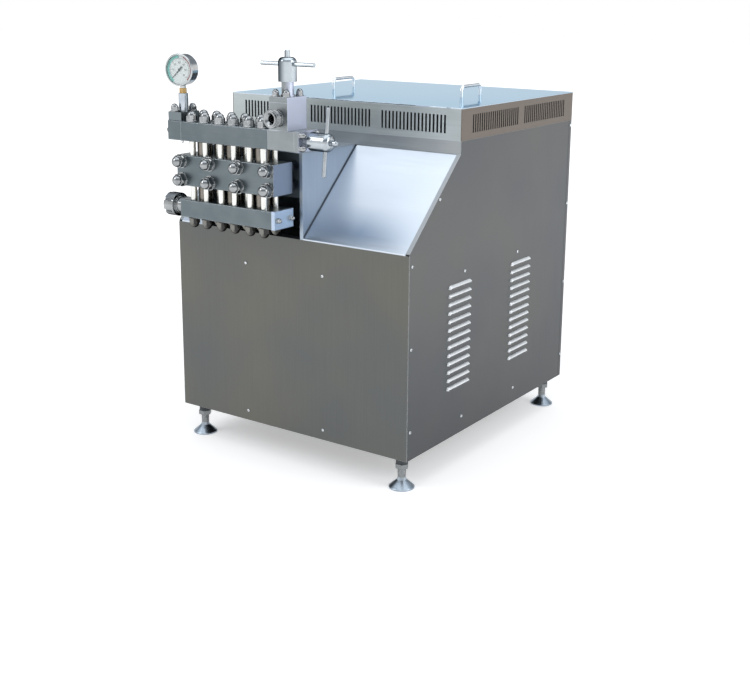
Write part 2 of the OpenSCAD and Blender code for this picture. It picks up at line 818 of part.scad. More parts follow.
// Upper block with a bore along it and a passage from each delivery valve
module discharge_manifold() {
    color(steel) stand() difference() {
        head_block(discharge_w, discharge_z, discharge_h);
        tie_holes(discharge_z, discharge_h);
        translate([head_x - discharge_w / 2 - 1, head_mid, discharge_axis]) along_x()
            cylinder(d = discharge_bore, h = discharge_w + 2);
        for (x = plunger_xs) translate([x, head_mid, discharge_z - 1]) cylinder(d = seat_d, h = discharge_h / 2 + 1);
    }
}

module valve_sleeves() {
    color(bright) stand() for (x = plunger_xs, z = [suction_top, block_top])
        translate([x, head_mid, z]) ring(sleeve_d, sleeve_bore, valve_gap);
}
module suction_balls() {
    color(bright) stand() for (x = plunger_xs) translate([x, head_mid, suction_top + ball_rise]) sphere(d = ball_d);
}
module discharge_balls() {
    color(bright) stand() for (x = plunger_xs) translate([x, head_mid, block_top + ball_rise]) sphere(d = ball_d);
}

module tie_studs() {
    reach = washer_t + nut_grip;
    color(bright) stand() for (p = tie_points) translate([p[0], p[1], suction_z - reach])
        cylinder(d = tie_d, h = discharge_top - suction_z + 2 * reach);
}
module tie_stud_nuts() {
    color(bright) stand() for (p = tie_points) {
        translate([p[0], p[1], discharge_top]) dome_nut(tie_nut_af, tie_d + 2 * run_fit);
        translate([p[0], p[1], suction_z]) rotate([180, 0, 0]) dome_nut(tie_nut_af, tie_d + 2 * run_fit);
    }
}
module block_studs() {
    reach = washer_t + nut_grip;
    color(bright) stand() for (p = block_stud_points) translate([p[0], head_front - reach, p[1]]) along_y()
        cylinder(d = block_stud_d, h = crank_front - head_front + reach + stud_anchor);
}
module block_nuts() {
    color(bright) stand() for (p = block_stud_points) translate([p[0], head_front, p[1]]) along_minus_y()
        dome_nut(block_nut_af, block_stud_d + 2 * run_fit);
}

// Plate with a plug that closes the right end of the suction bore
module manifold_end_plate() {
    color(steel) stand() translate([head_x + suction_w / 2, head_mid, suction_axis]) {
        translate([0, -head_d / 2, -suction_h / 2]) cube([end_plate_t, head_d, suction_h]);
        translate([-end_plate_t, 0, 0]) along_x() cylinder(d = suction_bore - 2 * stud_fit, h = end_plate_t + 1);
    }
}

// Inlet union: shouldered tail on the manifold, relief, then the threaded end
module inlet_union() {
    shoulder = 14;
    color(bright) stand() translate([head_x - suction_w / 2, head_mid, suction_axis]) along_minus_x() difference() {
        union() {
            cylinder(d = suction_h, h = shoulder);
            cylinder(d = inlet_d - 8, h = inlet_len);
            translate([0, 0, inlet_len / 2]) cylinder(d = inlet_d, h = inlet_len / 2);
        }
        translate([0, 0, -1]) cylinder(d = inlet_bore, h = inlet_len + 2);
    }
}

// Round union nut with spanner slots, on the threaded end
module inlet_union_nut() {
    nut_len = 0.5 * inlet_len - 4;
    color(bright) stand() translate([head_x - suction_w / 2 - inlet_len / 2 - 2, head_mid, suction_axis])
        along_minus_x() difference() {
            ring(inlet_nut_d, inlet_d + 2 * run_fit, nut_len);
            for (i = [0:5]) rotate([0, 0, i * 60]) translate([inlet_nut_d / 2 - 4, -5, 8])
                cube([8, 10, nut_len]);
        }
}

module gauge_block() {
    color(steel) stand() difference() {
        head_bar(gauge_block_x, gauge_block_w, discharge_z, discharge_h);
        translate([gauge_x, head_mid, discharge_axis]) along_x() cylinder(d = discharge_bore, h = gauge_block_w);
        translate([gauge_x, head_mid, discharge_axis]) cylinder(d = 10, h = discharge_h);
    }
}

// Clamp cap and stem under the gauge
module gauge_stem() {
    cap_inset = 4;
    color(steel) stand() difference() {
        union() {
            translate([gauge_block_x, head_front + cap_inset, gauge_cap_z])
                cube([gauge_block_w, head_d - 2 * cap_inset, gauge_cap_h]);
            translate([gauge_x, head_mid, gauge_stem_z]) cylinder(d = gauge_stem_d, h = gauge_stem_len);
        }
        translate([gauge_x, head_mid, gauge_cap_z - 1]) cylinder(d = 10, h = gauge_cap_h + gauge_stem_len + 2);
    }
}

module gauge_connector() {
    across = 0.8 * gauge_stem_d;
    color(brass) stand() translate([gauge_x, head_mid, gauge_connector_z]) {
        cylinder(d = across, h = connector_h, $fn = 6);
        translate([0, 0, -8]) cylinder(d = 10 - 2 * run_fit, h = 9);
    }
}

// Front of the gauge's case, turned about its stem
module at_gauge() {
    translate([gauge_x, head_mid, gauge_z]) rotate([0, 0, gauge_turn])
        translate([0, -gauge_depth / 2, 0]) children();
}

// Round case, open to the front, with a rolled bezel and a stepped seat for dial and lens
module gauge_case() {
    r = gauge_d / 2;
    bezel = 5;
    color(bright) stand() at_gauge() along_y() difference() {
        union() {
            rotate_extrude() polygon([[0, 0], [r - 2, 0], [r, 2], [r, bezel], [r - 2, bezel + 2],
                [r - 2, gauge_depth - 8], [r - 8, gauge_depth], [0, gauge_depth]]);
            translate([0, 0, gauge_depth / 2]) along_minus_y() translate([0, 0, -r - case_boss])
                cylinder(d = 0.6 * gauge_stem_d, h = case_boss + 10);
        }
        translate([0, 0, -1]) cylinder(r = r - case_wall - 2, h = dial_inset + 1);
        translate([0, 0, dial_inset - 1]) cylinder(d = needle_shaft_d + 2 * run_fit, h = gauge_depth / 2);
    }
}
module gauge_dial() {
    color(white) stand() at_gauge() translate([0, dial_inset - dial_t, 0]) along_y()
        ring(2 * (gauge_d / 2 - case_wall - 2.4), needle_shaft_d + 2 * run_fit, dial_t);
}
module gauge_lens() {
    color([0.85, 0.93, 0.95, 0.4]) stand() at_gauge() translate([0, lens_inset, 0]) along_y()
        cylinder(r = gauge_d / 2 - case_wall - 2 - run_fit, h = lens_t);
}

// Needle at the dial's zero, low on the left, on its shaft
module gauge_needle() {
    tip = 0.36 * gauge_d;
    tail = 0.14 * gauge_d;
    needle_t = 1;
    needle_lift = 2;
    color(black) stand() at_gauge() translate([0, dial_inset - dial_t - needle_lift, 0]) along_y() {
        rotate([0, 0, 135]) linear_extrude(needle_t)
            polygon([[-tail, -3], [-tail, 3], [0, 1.6], [tip, 0.4], [tip, -0.4], [0, -1.6]]);
        cylinder(d = 8, h = needle_t);
        cylinder(d = needle_shaft_d, h = needle_lift + dial_t + 10);
    }
}

// Valve block: foot at the end of the manifold and tower under the first-stage bonnet
module valve_block() {
    chamber_d = outlet_bore + 6;
    color(steel) stand() difference() {
        union() {
            head_bar(valve_x0, valve_w, discharge_z, discharge_h);
            translate([valve_tower_x0, head_front, discharge_top - 1]) cube([valve_tower_w, head_d, valve_tower_h + 1]);
        }
        translate([valve_x0 - 1, head_mid, discharge_axis]) along_x() cylinder(d = discharge_bore, h = valve_w + 2);
        translate([valve_axis_x, head_mid, discharge_axis]) cylinder(d = discharge_bore, h = discharge_h + valve_tower_h);
        translate([valve_axis_x, head_mid, outlet_z - chamber_d / 2]) cylinder(d = chamber_d, h = valve_tower_h);
        translate([valve_axis_x, head_front - 1, outlet_z]) along_y() cylinder(d = outlet_bore - 4, h = head_d / 2);
    }
}

// Bonnet from the origin along +Z: flange, neck up into the hub, and a bore for the spindle
module bonnet(flange_x, flange_y, bare_len) {
    difference() {
        union() {
            translate([-flange_x / 2, -flange_y / 2, 0]) cube([flange_x, flange_y, bonnet_t]);
            cylinder(d = neck_d, h = bonnet_t + bare_len + neck_reach);
            translate([0, 0, bonnet_t]) cylinder(d = neck_d + 6, h = 5);
        }
        translate([0, 0, -1]) cylinder(d = spindle_d + 2 * run_fit, h = bonnet_t + bare_len + neck_reach + 2);
    }
}

// Spindle from the bonnet's seat to the roof of the hub, with the valve head below
module valve_spindle(bare_len, valve_len) {
    translate([0, 0, -valve_len]) cylinder(d = spindle_d, h = valve_len + bonnet_t + bare_len + hub_skirt);
}

// Round bar with chamfered ends, standing on the XY plane
module t_bar() {
    r = bar_d / 2;
    rotate_extrude() polygon([[0, 0], [r - edge_cut, 0], [r, edge_cut], [r, bar_len - edge_cut],
        [r - edge_cut, bar_len], [0, bar_len]]);
}

// Turning hub with a skirt over the neck, a rounded crown, a spigot and the T-bar
module turning_handle(lean) {
    crown = 14;
    difference() {
        rotate_extrude() union() {
            polygon([[neck_d / 2 + gap, 0], [hub_d / 2, 0], [hub_d / 2, hub_len - crown], [hub_d / 2 - crown, hub_len],
                [spigot_d / 2, hub_len], [spigot_d / 2, hub_len + spigot_len - 3],
                [spigot_d / 2 - 3, hub_len + spigot_len], [0, hub_len + spigot_len], [0, hub_skirt],
                [neck_d / 2 + gap, hub_skirt]]);
            translate([hub_d / 2 - crown, hub_len - crown]) intersection() {
                circle(r = crown);
                square(crown);
            }
        }
        rotate([0, 0, lean]) translate([-hub_d, 0, bar_at]) along_x() cylinder(d = bar_d + 2 * run_fit, h = 2 * hub_d);
    }
    rotate([0, 0, lean]) translate([-bar_len / 2, 0, bar_at]) along_x() t_bar();
}

module at_stage_one() {
    translate([valve_axis_x, head_mid, valve_tower_top]) children();
}
module at_stage_two() {
    translate([valve_x1, head_mid, discharge_axis]) along_x() children();
}
module stage_one_bonnet() {
    color(steel) stand() at_stage_one() bonnet(valve_tower_w, head_d, neck_len);
}
module stage_one_spindle() {
    color(bright) stand() at_stage_one() valve_spindle(neck_len, 0.3 * valve_tower_h);
}
module stage_one_handle() {
    color(bright) stand() translate([valve_axis_x, head_mid, hub_z]) turning_handle(0);
}
module stage_two_bonnet() {
    color(steel) stand() at_stage_two() bonnet(discharge_h, head_d, side_neck_len);
}
module stage_two_spindle() {
    color(bright) stand() at_stage_two() valve_spindle(side_neck_len, 0.25 * valve_w);
}
module stage_two_handle() {
    color(bright) stand() translate([side_hub_x, head_mid, discharge_axis]) along_x() turning_handle(-side_bar_lean);
}

// Threaded discharge union on the front of the valve tower
module discharge_union() {
    collar = 10;
    color(bright) stand() translate([valve_axis_x, head_front, outlet_z]) along_minus_y() difference() {
        union() {
            cylinder(d = outlet_d - 8, h = outlet_len);
            cylinder(d = outlet_d - 2, h = collar);
            translate([0, 0, outlet_len / 2]) cylinder(d = outlet_d, h = outlet_len / 2 - 4);
        }
        translate([0, 0, -1]) cylinder(d = outlet_bore, h = outlet_len + 2);
        translate([0, 0, outlet_len - 8]) cylinder(d1 = outlet_bore, d2 = outlet_d - 14, h = 9);
    }
}

// Dome-headed bolts of the valve bonnets, the gauge block and the end plate
module small_dome_nuts() {
    valve_af = 19;
    side_af = 17;
    end_af = 13;
    edge = 14;
    side_edge = 11;
    color(bright) stand() {
        for (sx = [-1, 1], sy = [-1, 1]) {
            translate([valve_axis_x + sx * (valve_tower_w / 2 - edge), head_mid + sy * (head_d / 2 - edge), bonnet_top])
                dome_nut(valve_af, 0);
            translate([side_bonnet_x, head_mid + sy * (head_d / 2 - side_edge),
                discharge_axis + sx * (discharge_h / 2 - side_edge)]) along_x() dome_nut(side_af, 0);
        }
        for (s = [-1, 1]) {
            translate([gauge_x + s * (gauge_block_w / 2 - edge), head_mid + s * (head_d / 2 - edge - 4), gauge_stem_z])
                dome_nut(valve_af + 3, 0);
            translate([head_x + suction_w / 2 + end_plate_t, head_mid + s * (head_d / 2 - edge), suction_axis])
                along_x() dome_nut(end_af, 0);
        }
        translate([gauge_block_x, head_mid, discharge_axis]) along_minus_x() dome_nut(valve_af + 3, 0);
    }
}

frame_tubes();
machine_decks();
front_panel();
right_side_panel();
left_side_panel();
rear_panel();
chute_panel();
left_slope_panel();
tower_hood();
upper_front_strip();
foot_lock_nuts();
foot_front_left();
foot_front_right();
foot_rear_left();
foot_rear_right();
lid_top();
lid_vent_walls();
lid_handles();
crankcase();
crankcase_cover();
motor_housing();
motor_shaft();
motor_pulley();
crankshaft();
drive_pulley();
drive_belts();
head_spacers();
plunger_left();
plunger_middle();
plunger_right();
packing_glands();
cylinder_block();
suction_manifold();
discharge_manifold();
valve_sleeves();
suction_balls();
discharge_balls();
tie_studs();
tie_stud_nuts();
block_studs();
block_nuts();
manifold_end_plate();
inlet_union();
inlet_union_nut();
gauge_block();
gauge_stem();
gauge_connector();
gauge_case();
gauge_dial();
gauge_needle();
gauge_lens();
valve_block();
small_dome_nuts();
stage_one_bonnet();
stage_one_spindle();
stage_one_handle();
discharge_union();
stage_two_bonnet();
stage_two_spindle();
stage_two_handle();
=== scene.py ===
import math

import bmesh
import bpy
from mathutils import Matrix, Vector


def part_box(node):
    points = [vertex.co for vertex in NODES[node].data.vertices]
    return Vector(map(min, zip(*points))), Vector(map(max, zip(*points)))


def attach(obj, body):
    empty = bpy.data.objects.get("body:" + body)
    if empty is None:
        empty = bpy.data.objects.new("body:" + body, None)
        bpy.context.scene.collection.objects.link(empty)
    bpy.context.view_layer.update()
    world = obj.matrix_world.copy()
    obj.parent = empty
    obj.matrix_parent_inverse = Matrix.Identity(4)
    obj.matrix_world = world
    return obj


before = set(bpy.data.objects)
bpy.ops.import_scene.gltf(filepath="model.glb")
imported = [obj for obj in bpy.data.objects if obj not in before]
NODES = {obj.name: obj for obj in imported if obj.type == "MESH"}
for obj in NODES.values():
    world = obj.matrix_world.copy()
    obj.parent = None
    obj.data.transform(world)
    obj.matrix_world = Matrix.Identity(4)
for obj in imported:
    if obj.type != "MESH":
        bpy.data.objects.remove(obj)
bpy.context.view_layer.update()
SCENE = bpy.context.scene

# Camera at the photograph's viewing angle, in the part's frame
IMAGE_W = 750
IMAGE_H = 674
SENSOR = 36.0
FOCAL_PX = 1184.7
PRINCIPAL_Y = 282
CAMERA_AT = (2.2464, -3.2079, 1.4797)
CAMERA_YAW = -34.67
CAMERA_PITCH = -13.95
CAMERA_ROLL = 0.42

# Where the finish, or painted light and shade, changes within one node, in metres
CAP_H = 0.0261
STEM_R = 0.017
PAD_H = 0.0345
HUB_R = 0.0275
LID_SKIN = 0.003
HOOD_STEP = 0.0004
SEAM_INSET = 0.0165
SEAM_W = 0.0022

# Spans of a normal's X component over which the painted reflection on right faces and the painted shade on
# nuts and hub fade in
FLANK_TURN = (0.2, 0.95)
NUT_TURN = (-0.3, 0.7)
HUB_TURN = (-0.15, 0.4)

# Painted highlight on louvre crests and upward faces: least upward and forward components of a normal, and
# how metallic the crests are
CREST_UP = 0.3
CREST_AHEAD = 0.5
CREST_METALLIC = 0.35

# Painted reflection on the chute, a darker band near its foot: shares of the sheet's height, then strengths
REFLECTION_RISE = 0.12
REFLECTION_FALL = (0.16, 0.42)
REFLECTION_FOOT = 0.35
REFLECTION_LEFT = 0.4
REFLECTION_RIGHT = 0.2
REFLECTION_MOST = 0.8

# Painted shade on the side panels: how far up it reaches and how dark it starts
SHADE_REACH = 0.65
SHADE_FOOT = 0.74

# Textures: spans of the noise that are used, swings of roughness, and depths and edge radii in metres
PATCH_SPAN = (0.35, 0.65)
GRAIN_SPAN = (0.25, 0.75)
PEEL_SPAN = (0.2, 0.8)
SMUDGE_SPAN = (0.3, 0.7)
ROUGH_SPAN = 0.25
PEEL_ROUGH_SPAN = 0.15
METAL_BUMP = 0.0006
PAINT_BUMP = 0.0005
EDGE_R = 0.0012
BLOCK_EDGE_R = 0.0016
PAINT_EDGE_R = 0.0015
# Share of the painted edge highlight on paint, and the span over which edge highlights fade in
PAINT_EDGE_SHARE = 0.6
EDGE_SPAN = (0.99, 0.88)
PAINT_PATCH = 9.0

# Lens: scale of its smudges, roughness, opacity and coat
SMUDGE_SCALE = 60.0
LENS_ROUGH = (0.01, 0.05)
LENS_ALPHA = 0.1
LENS_COAT = 0.5

# Screws, pin and plug, in metres; profiles are rows of radius, height and sides, 0 for round
ROUND_STEPS = 24
SMOOTH_ANGLE = 35
SCREW_R = 0.0052
SCREW_H = 0.0032
SCREW_PROFILE = [(1.0, -0.1, 0), (1.0, 0.25, 0), (0.94, 0.55, 0), (0.8, 0.82, 0), (0.62, 0.97, 0),
                 (0.46, 1.0, 6), (0.44, 0.45, 6)]
PIN_R = 0.0045
PIN_H = 0.009
PIN_INSET = (0.006, 0.012)
PLUG_RISE = 0.4
PLUG_PROFILE = [(0.009, -0.0005, 0), (0.009, 0.015, 0), (0.0125, 0.016, 6), (0.0125, 0.030, 6),
                (0.0115, 0.032, 0), (0.0105, 0.037, 0), (0.0075, 0.041, 0), (0.003, 0.0425, 0)]

# Places of the panel screws, from the lower left front corner or an edge of a panel, in metres
SCREW_EDGE = 0.015
BACK_EDGE = 0.0085
FRONT_SCREWS_X = (0.284, 0.588)
FRONT_SCREWS_Z = (0.033, 0.527)
SIDE_SCREWS_YZ = ((SCREW_EDGE, 0.090), (SCREW_EDGE, 0.347), (SCREW_EDGE, 0.596), (0.315, 0.053),
                  (0.657, 0.053), (0.315, 0.528), (0.657, 0.528), (0.160, 0.772))
SIDE_BACK_SCREWS_Z = (0.083, 0.355, 0.640, 0.914)
REAR_SCREWS_Z = (0.040, 0.320, 0.610, 0.890)

# Threads: radius, depth, pitch and length in metres, and where each starts
DISCHARGE_THREAD = (0.0259, 0.0011, 0.0035, 0.0145)
DISCHARGE_START = 0.0065
INLET_THREAD = (0.0258, 0.0012, 0.0035, 0.007)
INLET_START = 0.0345
POST_THREAD = (0.0124, 0.0006, 0.003, 0.017)
POST_START = 0.046

# Every thread: steps in a turn, turns to fade in, half widths as shares of the pitch, degrees smoothed
THREAD_STEPS = 36
THREAD_FADE = 0.6
THREAD_ROOT = 0.42
THREAD_CREST = 0.06
THREAD_SMOOTH = 80

# Sealing bead, and the near-black mesh behind the lid's slots, a painted shade, in metres
SINK = 0.0003
LIP = 0.004
BEAD = 0.0045
BEAD_HOLLOW = (0.45, 0.4)
SHEET = 0.002
MESH_GAP = 0.0003
MESH_DEPTH = 0.006
MESH_LIP = 0.005
MESH_T = 0.0008
MESH_BELOW = 0.010
MESH_ABOVE = 0.008

# Print of the dial: metres, degrees anticlockwise from the right, and shares of the dial's radius
GAUGE_ANGLE = 10
GAUGE_TURN = Matrix.Rotation(math.radians(GAUGE_ANGLE), 3, "Z")
DIAL_T = 0.0015
PRINT_T = 0.00015
DIAL_ZERO = 225.0
DIAL_SWEEP = 270.0
DIAL_MARKS = 30
LONG_EVERY = 5

# Ticks have an inner radius and half a width, bands two radii, two angles and a number of steps
LONG_TICK = (0.64, 0.75)
SHORT_TICK = (0.71, 0.4)
TICK_END = 0.78
TICK_STEPS = 2
SCALE_RING = (0.775, 0.79)
SCALE_STEPS = 72
SAFE_BAND = (0.82, 0.99, 92, 238, 48)
LIMIT_BAND = (0.86, 0.99, -48, 70, 40)
NUMBERS = (0, 10, 20, 30, 40, 50, 60)
NUMBER_AT = 0.5
NUMBER_SIZE = 0.0085

# Background by the sine of its height above the horizon, fill light, floor and lamps
WALL_RISE = (0.24, 0.36)
SKY_RISE = (0.52, 0.78)
FILL_COLOUR = (0.93, 0.96, 1.0, 1.0)
FILL_LEVEL = 0.55
WHITE = (1, 1, 1, 1)
BLACK = (0, 0, 0, 1)
FLOOR_TONES = ((0.90, 0.90, 0.90, 1), (0.92, 0.92, 0.92, 1))
FLOOR_PATCH = 3.0
FLOOR_SIZE = 60
FLOOR_DROP = 0.0002
GLOW_REACH = (1.5, 7.0)
GLOW_LEVEL = (0.42, 0.8)
LAMPS = [
    {"name": "overhead", "at": (0.2, -0.2, 4.6), "target": (0, 0, 0.6), "size": (5.0, 5.0), "power": 70,
     "colour": (1, 1, 1)},
    {"name": "key", "at": (-2.6, -3.6, 3.6), "target": (0, -0.2, 0.8), "size": (2.2, 2.2), "power": 60,
     "colour": (1, 1, 1)},
    {"name": "side", "at": (4.0, 0.6, 2.6), "target": (0.2, 0, 0.7), "size": (2.2, 2.8), "power": 52,
     "colour": (0.95, 0.98, 1.0)},
]


def tone(red, green, blue):
    """Linear colour of an 8-bit sRGB one."""
    def linear(value):
        share = value / 255
        return share / 12.92 if share <= 0.04045 else ((share + 0.055) / 1.055) ** 2.4
    return (linear(red), linear(green), linear(blue), 1.0)


def make_camera():
    yaw = math.radians(CAMERA_YAW)
    pitch = math.radians(CAMERA_PITCH)
    roll = math.radians(CAMERA_ROLL)
    flat = math.cos(pitch)
    ahead = Vector((math.sin(yaw) * flat, math.cos(yaw) * flat, math.sin(pitch)))
    level = Vector((math.cos(yaw), -math.sin(yaw), 0))
    upright = level.cross(ahead)
    right = math.cos(roll) * level + math.sin(roll) * upright
    up = math.cos(roll) * upright - math.sin(roll) * level
    data = bpy.data.cameras.new("camera")
    data.sensor_width = SENSOR
    data.lens = FOCAL_PX / IMAGE_W * SENSOR
    data.shift_y = (PRINCIPAL_Y - IMAGE_H / 2) / IMAGE_W
    camera = bpy.data.objects.new("camera", data)
    turn = Matrix((right, up, -ahead)).transposed().to_4x4()
    camera.matrix_world = Matrix.Translation(CAMERA_AT) @ turn
    SCENE.collection.objects.link(camera)
    SCENE.camera = camera


def put(tree, kind, inputs=None, **settings):
    """Adds a node, sets its properties, and links or sets its inputs."""
    made = tree.nodes.new(kind)
    for key, value in settings.items():
        setattr(made, key, value)
    for key, value in (inputs or {}).items():
        if isinstance(value, bpy.types.NodeSocket):
            tree.links.new(value, made.inputs[key])
        else:
            made.inputs[key].default_value = value
    return made


def math_of(tree, operation, first, second=0.0):
    return put(tree, "ShaderNodeMath", {0: first, 1: second}, operation=operation).outputs[0]


def stretch(tree, value, low, high, to_low=0.0, to_high=1.0):
    """Maps value from low..high to to_low..to_high, clamped."""
    return put(tree, "ShaderNodeMapRange", {"Value": value, "From Min": low, "From Max": high,
                                            "To Min": to_low, "To Max": to_high}).outputs["Result"]


def mixed(tree, share, first, second, blend="MIX"):
    """Blend of two colours; input 0 of the mix node is the share, 6 and 7 the colours, output 2 the blend."""
    return put(tree, "ShaderNodeMix", {0: share, 6: first, 7: second}, data_type="RGBA",
               blend_type=blend).outputs[2]


def place(tree):
    return tree.nodes.get("place") or put(tree, "ShaderNodeTexCoord", name="place")


def noise(tree, scale, detail=3.0, roughness=0.55):
    """Noise over the object's own coordinates; scale is one number or one for each axis."""
    axes = scale if isinstance(scale, tuple) else (scale,) * 3
    spot = put(tree, "ShaderNodeMapping", {"Vector": place(tree).outputs["Object"], "Scale": axes})
    return put(tree, "ShaderNodeTexNoise", {"Vector": spot.outputs[0], "Scale": 1.0, "Detail": detail,
                                            "Roughness": roughness}).outputs["Fac"]


def axis(tree, name):
    """One of the object's own coordinates."""
    return put(tree, "ShaderNodeSeparateXYZ", {0: place(tree).outputs["Object"]}).outputs[name]


def distance(tree, name, at):
    """Distance along one axis from a place on it."""
    return math_of(tree, "ABSOLUTE", math_of(tree, "SUBTRACT", axis(tree, name), at))


def facing(tree, name):
    """One component of the surface's normal."""
    geometry = put(tree, "ShaderNodeNewGeometry")
    return put(tree, "ShaderNodeSeparateXYZ", {0: geometry.outputs["Normal"]}).outputs[name]


def beyond(tree, limit):
    """1 where a point lies further out to the left or right than the limit."""
    return math_of(tree, "GREATER_THAN", math_of(tree, "ABSOLUTE", axis(tree, "X")), limit)


def seam_line(tree, along, at, width):
    """1 on a thin straight joint between two sheets, 0 elsewhere."""
    return math_of(tree, "LESS_THAN", distance(tree, along, at), width / 2)


def shader(name):
    made = bpy.data.materials.new(name)
    made.use_nodes = True
    return made, made.node_tree, made.node_tree.nodes["Principled BSDF"]


def soft_edges(tree, radius):
    """Rounded normal for the edges, and how much of an edge a point is."""
    bevel = put(tree, "ShaderNodeBevel", {"Radius": radius}, samples=4)
    flat = put(tree, "ShaderNodeNewGeometry")
    likeness = put(tree, "ShaderNodeVectorMath", {0: bevel.outputs[0], 1: flat.outputs["Normal"]},
                   operation="DOT_PRODUCT").outputs["Value"]
    return bevel.outputs[0], stretch(tree, likeness, *EDGE_SPAN)


def finish_surface(tree, base, tint, rough_map, bump, height, normal):
    """Links colour, roughness and bump to the shader; bump is its strength and depth."""
    tree.links.new(tint, base.inputs["Base Color"])
    tree.links.new(rough_map, base.inputs["Roughness"])
    strength, depth = bump
    lifted = put(tree, "ShaderNodeBump", {"Strength": strength, "Distance": depth, "Height": height,
                                          "Normal": normal})
    tree.links.new(lifted.outputs[0], base.inputs["Normal"])


def metal(name, first, second, edge, grain, rough, patch, bump, edge_r=EDGE_R, streak=0.10,
          rim=(1, 1, 1), seam=None, raised=None, shade=None, flank_reflection=None):
    """Brushed or polished metal: two tones in patches, fine grain, and a painted highlight on the edges (the
    gauge case's edge colour is darker).
    """
    made, tree, base = shader(name)
    grain_share = noise(tree, grain, detail=4.0, roughness=0.6)
    tint = mixed(tree, stretch(tree, noise(tree, patch, detail=2.0), *PATCH_SPAN), first, second)
    lines = stretch(tree, grain_share, *GRAIN_SPAN, 1 - streak, 1 + streak)
    tint = mixed(tree, 1.0, tint, lines, "MULTIPLY")
    normal, highlight_share = soft_edges(tree, edge_r)
    # Painted highlight: the edges take a colour of their own, lighter on all but the gauge case
    tint = mixed(tree, highlight_share, tint, edge)
    if seam:
        dark_joint = tone(40, 42, 44)
        tint = mixed(tree, seam_line(tree, *seam), tint, dark_joint)
    if shade:
        tint = shade(tree, tint)
    # Painted reflection: faces turned to the right get a lighter, bluer colour
    if flank_reflection:
        tint = mixed(tree, stretch(tree, facing(tree, "X"), *FLANK_TURN), tint, flank_reflection)
    base.inputs["Metallic"].default_value = 1.0
    base.inputs["Specular Tint"].default_value = (*rim, 1.0)
    # Painted highlight: upward faces get a lighter colour, and louvre crests beyond the panel a near-white,
    # less metallic one
    if raised:
        limit, top_face_light, colour, share = raised
        upward = math_of(tree, "GREATER_THAN", facing(tree, "Z"), CREST_UP)
        ahead = math_of(tree, "LESS_THAN", facing(tree, "Y"), -CREST_AHEAD)
        crest = math_of(tree, "MULTIPLY", beyond(tree, limit), math_of(tree, "MAXIMUM", upward, ahead))
        tint = mixed(tree, upward, tint, top_face_light)
        tint = mixed(tree, crest, tint, colour)
        tree.links.new(stretch(tree, crest, 0.0, 1.0, 1.0, share), base.inputs["Metallic"])
    rough_map = stretch(tree, grain_share, *GRAIN_SPAN, rough * (1 - ROUGH_SPAN), rough * (1 + ROUGH_SPAN))
    finish_surface(tree, base, tint, rough_map, (bump, METAL_BUMP), grain_share, normal)
    return made


def chute_shade(tree, tint):
    """Painted reflection: darker blue-grey band across the lower part of the sheet, strongest in the middle.
    """
    low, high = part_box("chute_panel")
    height = high.z - low.z
    rising = stretch(tree, axis(tree, "Z"), low.z, low.z + REFLECTION_RISE * height, REFLECTION_FOOT, 1.0)
    starts, ends = (low.z + share * height for share in REFLECTION_FALL)
    falling = stretch(tree, axis(tree, "Z"), starts, ends, 1.0, 0.0)
    middle = (low.x + high.x) / 2
    left = stretch(tree, axis(tree, "X"), low.x, middle, REFLECTION_LEFT, 1.0)
    right = stretch(tree, axis(tree, "X"), middle, high.x, 1.0, REFLECTION_RIGHT)
    across = math_of(tree, "MINIMUM", left, right)
    share = math_of(tree, "MULTIPLY", math_of(tree, "MINIMUM", rising, falling), across)
    return mixed(tree, math_of(tree, "MULTIPLY", share, REFLECTION_MOST), tint, tone(132, 154, 180))


def lid_shade(tree, tint):
    """Painted shade: darker, warmer colour on the left and right walls."""
    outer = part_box("lid_vent_walls")[1].x
    return mixed(tree, beyond(tree, outer - LID_SKIN), tint, tone(120, 112, 105))


def stem_shade(tree, tint):
    """Duller finish on the flat clamp cap under the gauge's stem."""
    low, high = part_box("gauge_stem")
    cap = math_of(tree, "LESS_THAN", axis(tree, "Z"), low.z + CAP_H)
    wide = math_of(tree, "GREATER_THAN", distance(tree, "X", (low.x + high.x) / 2), STEM_R)
    return mixed(tree, math_of(tree, "MAXIMUM", cap, wide), tint, tone(118, 127, 131))


def foot_shade(tree, tint):
    """Darker post and lock nut above the pad."""
    above = math_of(tree, "GREATER_THAN", axis(tree, "Z"), PAD_H)
    return mixed(tree, above, tint, tone(134, 137, 138))


def nut_shade(tree, tint):
    """Painted shade: darker colour on the nuts under the suction manifold, darkest on their right."""
    under = math_of(tree, "LESS_THAN", axis(tree, "Z"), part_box("suction_manifold")[0].z)
    turned = stretch(tree, facing(tree, "X"), *NUT_TURN)
    return mixed(tree, under, tint, mixed(tree, turned, tone(134, 133, 129), tone(58, 58, 57)))


def hub_shade(tree, tint):
    """Painted shade: darker colour on the left of the first stage's hub."""
    inside = math_of(tree, "LESS_THAN", distance(tree, "X", centre("stage_one_handle").x), HUB_R)
    leftward = stretch(tree, facing(tree, "X"), *HUB_TURN, 1.0, 0.0)
    return mixed(tree, math_of(tree, "MULTIPLY", inside, leftward), tint, tone(104, 112, 117))


def side_shade(tree, tint):
    """Painted shade: the side panels get darker towards the floor."""
    low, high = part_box("right_side_panel")
    reach = low.z + SHADE_REACH * (high.z - low.z)
    depth = stretch(tree, axis(tree, "Z"), low.z, reach, SHADE_FOOT, 1.0)
    return mixed(tree, 1.0, tint, depth, "MULTIPLY")


